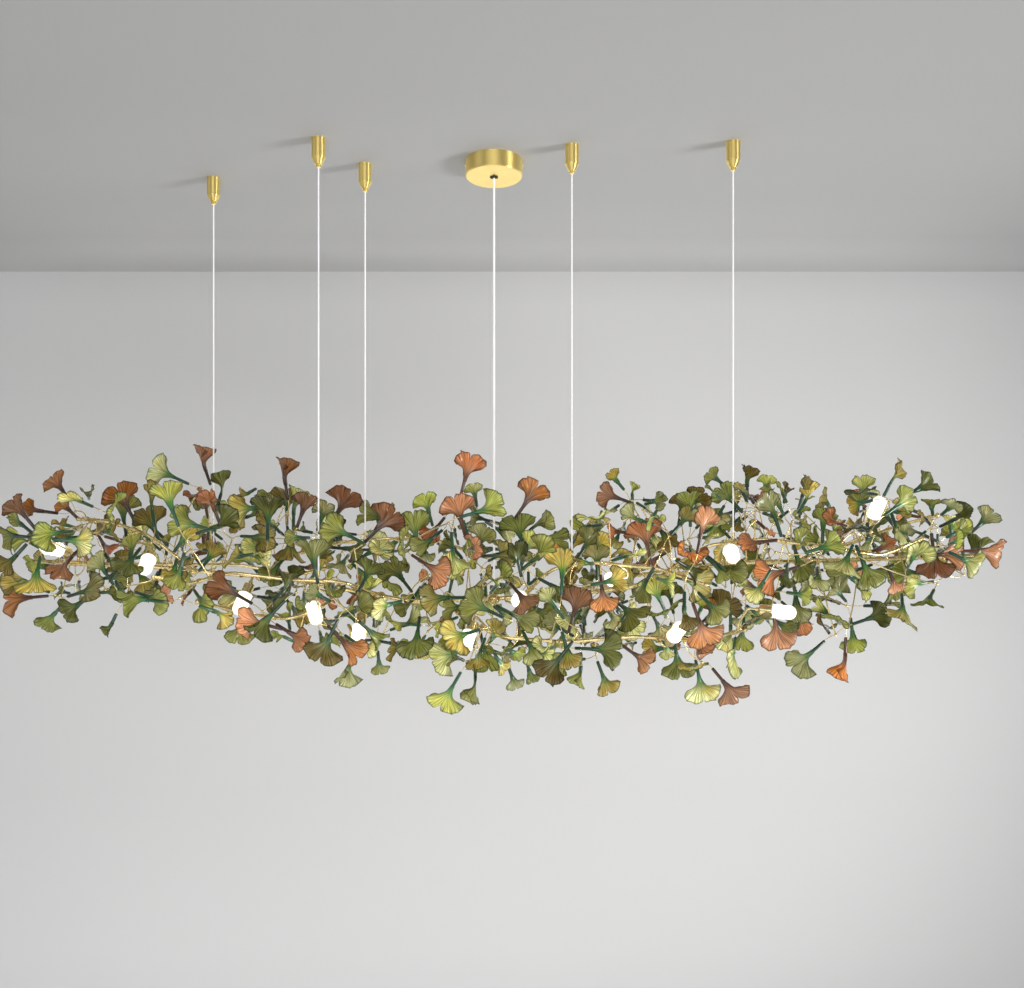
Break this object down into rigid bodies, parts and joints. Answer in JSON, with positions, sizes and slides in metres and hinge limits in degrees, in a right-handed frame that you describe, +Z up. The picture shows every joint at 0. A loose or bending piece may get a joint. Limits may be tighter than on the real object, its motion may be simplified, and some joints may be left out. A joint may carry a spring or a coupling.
{
  "type": "branch chandelier",
  "caption": "Long branch chandelier: brass twigs with ginkgo leaves and small bulbs on a trunk, hung by cables and grippers under a round canopy.",
  "frame": {"origin": "middle of the canopy's bracket on the ceiling plane", "axes": "+Z up to the ceiling, +X along the lamp to the viewer's right, +Y away from the viewer"},
  "size_m": [2.1079, 0.4502, 1.1672],
  "materials": {
    "polished_gold": "polished gold-coloured plating, streaky reflections round the cylinders",
    "zinc_steel": "zinc-plated steel, hidden",
    "spring_steel": "bright steel, hidden",
    "dark_nylon": "black moulded nylon",
    "terminal_plastic": "white moulded nylon, hidden",
    "coated_cable": "steel cable in a clear coat, reads pale",
    "pale_cord": "pale translucent cord jacket",
    "branch_gold": "gold-coloured brass wire and tube",
    "green_resin": "translucent cast resin, yellow green fan, dark green vein roots and near-black sleeve",
    "amber_resin": "translucent cast resin, amber brown fan, maroon base",
    "frosted_glass": "frosted glass, lit from inside",
    "lamp_ceramic": "white ceramic lamp base",
    "lit_stick": "LED stick"
  },
  "bodies": {
    "ceiling_set": {"canopy_bracket": "zinc_steel", "canopy_side_screws": "polished_gold", "terminal_block": "terminal_plastic", "earth_screw": "branch_gold", "gripper_bases": "zinc_steel", "gripper_barrels": "polished_gold", "gripper_cores": "zinc_steel", "gripper_spring_1": "spring_steel", "gripper_spring_2": "spring_steel", "gripper_spring_3": "spring_steel", "gripper_spring_4": "spring_steel", "gripper_spring_5": "spring_steel"},
    "canopy": {"canopy_cover": "polished_gold", "cord_grip_body": "dark_nylon", "cord_grip_nut": "dark_nylon"},
    "nipple_1": {"release_nipple_1": "polished_gold", "gripper_balls_1": "spring_steel"},
    "nipple_2": {"release_nipple_2": "polished_gold", "gripper_balls_2": "spring_steel"},
    "nipple_3": {"release_nipple_3": "polished_gold", "gripper_balls_3": "spring_steel"},
    "nipple_4": {"release_nipple_4": "polished_gold", "gripper_balls_4": "spring_steel"},
    "nipple_5": {"release_nipple_5": "polished_gold", "gripper_balls_5": "spring_steel"},
    "fixture": {"amber_leaves_left": "amber_resin", "amber_leaves_middle": "amber_resin", "amber_leaves_right": "amber_resin", "branch_1": "branch_gold", "branch_2": "branch_gold", "branch_3": "branch_gold", "branch_4": "branch_gold", "branch_5": "branch_gold", "branch_hubs": "branch_gold", "branch_tips": "branch_gold", "bulb_bases": "lamp_ceramic", "bulb_glasses": "frosted_glass", "bulb_lights": "lit_stick", "cable_1": "coated_cable", "cable_2": "coated_cable", "cable_3": "coated_cable", "cable_4": "coated_cable", "cable_5": "coated_cable", "cable_hangers": "branch_gold", "green_leaves_left": "green_resin", "green_leaves_middle": "green_resin", "green_leaves_right": "green_resin", "lamp_holders": "branch_gold", "power_cord": "pale_cord", "side_branches": "branch_gold", "socket_arms": "branch_gold", "trunk_coupler": "branch_gold", "trunk_left": "branch_gold", "trunk_right": "branch_gold", "twigs_left": "branch_gold", "twigs_left_end": "branch_gold", "twigs_middle_left": "branch_gold", "twigs_middle_right": "branch_gold", "twigs_right": "branch_gold", "twigs_right_end": "branch_gold"}
  },
  "joints": [
    {"name": "height_adjust", "type": "slide", "parent": "ceiling_set", "child": "fixture", "axis": [0, 0, 1], "range_m": [-0.012, 0.012]},
    {"name": "canopy_slide", "type": "slide", "parent": "ceiling_set", "child": "canopy", "axis": [0, 0, -1], "range_m": [0, 0.08]},
    {"name": "nipple_press_1", "type": "slide", "parent": "ceiling_set", "child": "nipple_1", "axis": [0, 0, 1], "range_m": [0, 0.002], "stiffness_N_per_m": 500, "springref_m": -0.004, "deforming": ["gripper_spring_1"]},
    {"name": "nipple_press_2", "type": "slide", "parent": "ceiling_set", "child": "nipple_2", "axis": [0, 0, 1], "range_m": [0, 0.002], "stiffness_N_per_m": 500, "springref_m": -0.004, "deforming": ["gripper_spring_2"]},
    {"name": "nipple_press_3", "type": "slide", "parent": "ceiling_set", "child": "nipple_3", "axis": [0, 0, 1], "range_m": [0, 0.002], "stiffness_N_per_m": 500, "springref_m": -0.004, "deforming": ["gripper_spring_3"]},
    {"name": "nipple_press_4", "type": "slide", "parent": "ceiling_set", "child": "nipple_4", "axis": [0, 0, 1], "range_m": [0, 0.002], "stiffness_N_per_m": 500, "springref_m": -0.004, "deforming": ["gripper_spring_4"]},
    {"name": "nipple_press_5", "type": "slide", "parent": "ceiling_set", "child": "nipple_5", "axis": [0, 0, 1], "range_m": [0, 0.002], "stiffness_N_per_m": 500, "springref_m": -0.004, "deforming": ["gripper_spring_5"]}
  ]
}
